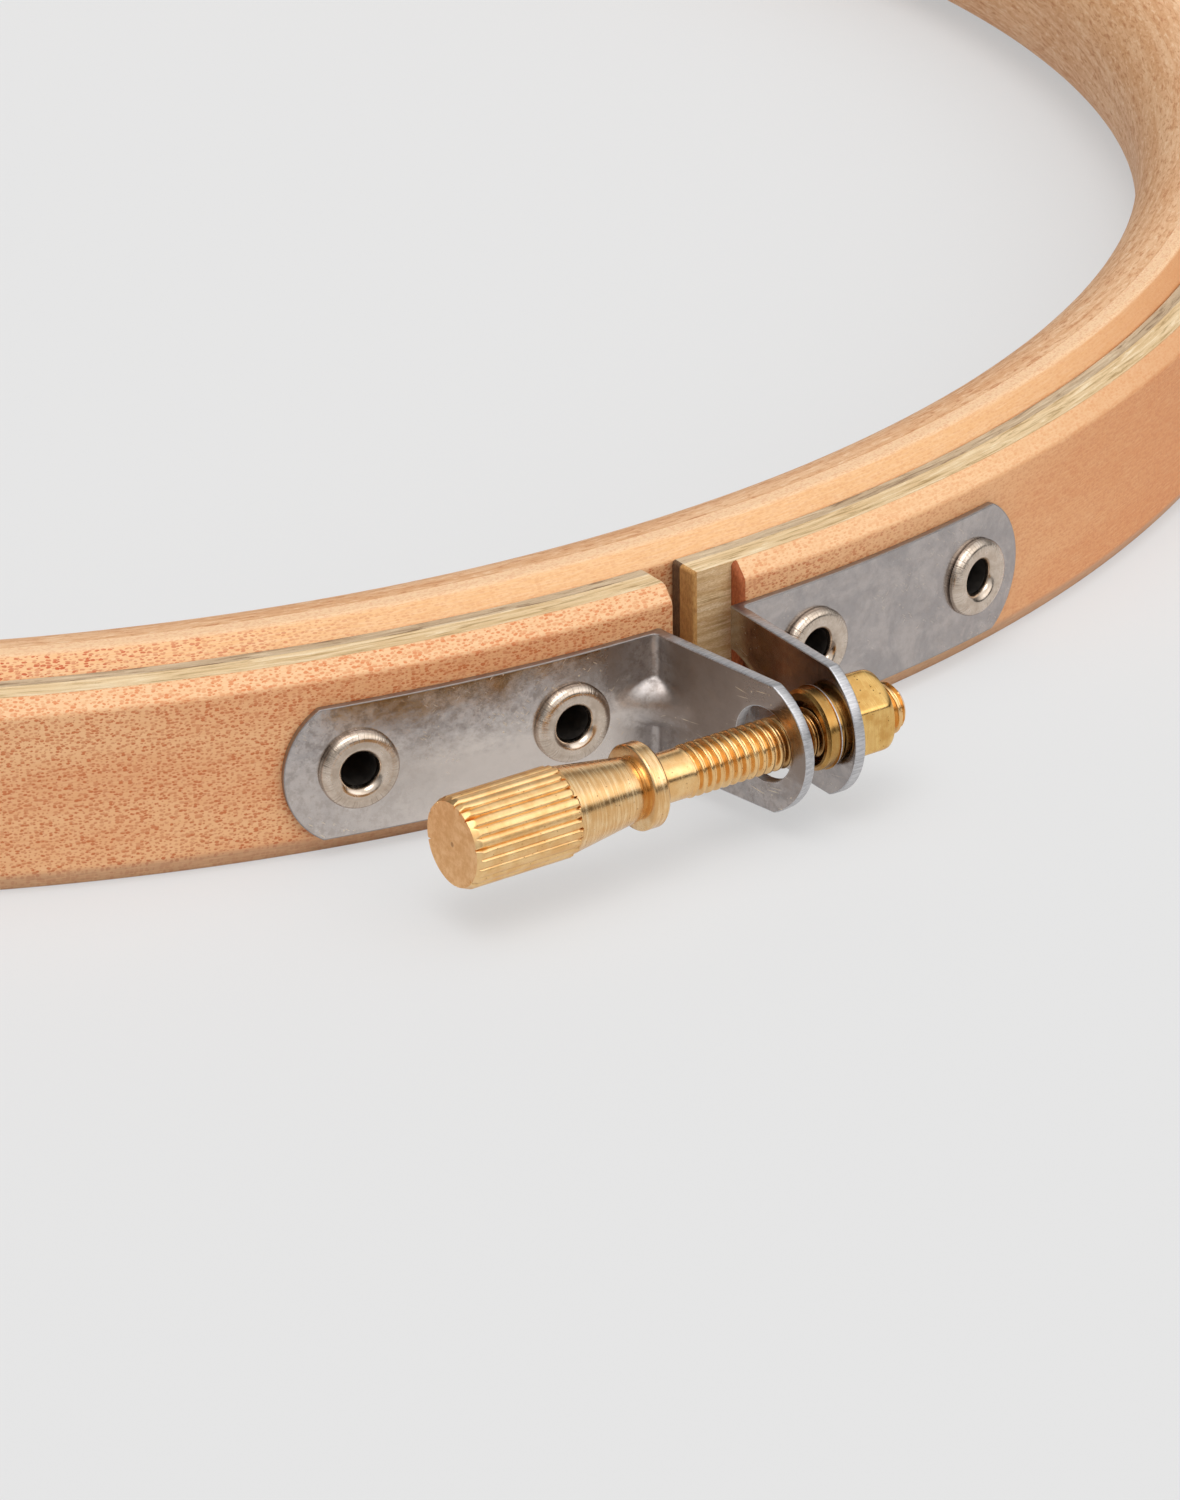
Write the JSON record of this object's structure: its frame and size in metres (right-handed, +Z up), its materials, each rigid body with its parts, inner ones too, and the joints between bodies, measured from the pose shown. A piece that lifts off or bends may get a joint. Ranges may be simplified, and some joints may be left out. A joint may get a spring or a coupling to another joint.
{
  "type": "embroidery hoop",
  "caption": "Wooden embroidery hoop: a split outer ring, drawn closed round an inner ring by a knurled brass screw between bent steel brackets at the gap.",
  "frame": {"origin": "under the middle of the whole object, on the plane that the outer hoop lies on", "axes": "+Z up along the hoop's axis, -Y to the front where the gap and the screw are, +X along the screw's axis from its head to its tip"},
  "size_m": [0.254, 0.2704, 0.0172],
  "materials": {
    "beech": "bare steamed beech, sanded, with dense reddish flecks along the ring",
    "pale_wood": "bare pale yellow wood, sanded",
    "inner_wood": "bare brown-grey wood with fine streaks, sanded",
    "steel": "polished steel strip, mottled, with bright cut edges",
    "nickel": "nickel plate with fine radial scratches",
    "brass": "turned brass, bright, spotty in the recesses"
  },
  "bodies": {
    "outer_left": {"outer_face_ply_left": "beech", "outer_core_ply_left": "pale_wood", "outer_back_ply_left": "inner_wood", "bracket_left": "steel", "eyelet_left_inner": "nickel", "eyelet_left_outer": "nickel"},
    "outer_right": {"outer_face_ply_right": "beech", "outer_core_ply_right": "pale_wood", "outer_back_ply_right": "inner_wood", "bracket_right": "steel", "eyelet_right_inner": "nickel", "eyelet_right_outer": "nickel", "captive_nut": "brass"},
    "inner_hoop": {"inner_face_ply": "beech", "inner_back_ply": "inner_wood"},
    "screw_shank": {"screw_shank": "brass"},
    "screw_head": {"screw_head": "brass"}
  },
  "joints": [
    {"name": "outer_ring_flex", "type": "hinge", "parent": "outer_left", "child": "outer_right", "pos_m": [0, 0.13305, 0.008], "axis": [0, 0, 1], "range_deg": [0, 0.7], "stiffness_Nm_per_rad": 5},
    {"name": "inner_hoop_lift", "type": "slide", "parent": "outer_left", "child": "inner_hoop", "axis": [0, 0, 1], "range_m": [-0.00125, 0.025]},
    {"name": "screw_travel", "type": "slide", "parent": "outer_right", "child": "screw_shank", "axis": [1, 0, 0], "range_m": [-0.0059, 0.0068]},
    {"name": "screw_turn", "type": "hinge", "parent": "screw_shank", "child": "screw_head", "pos_m": [-0.0215, -0.1314, 0.0076], "axis": [1, 0, 0], "range_deg": [-2700, 3100]}
  ],
  "couplings": [
    {"joint": "screw_turn", "follows": "screw_travel", "rad_per_m": 7913.3}
  ]
}
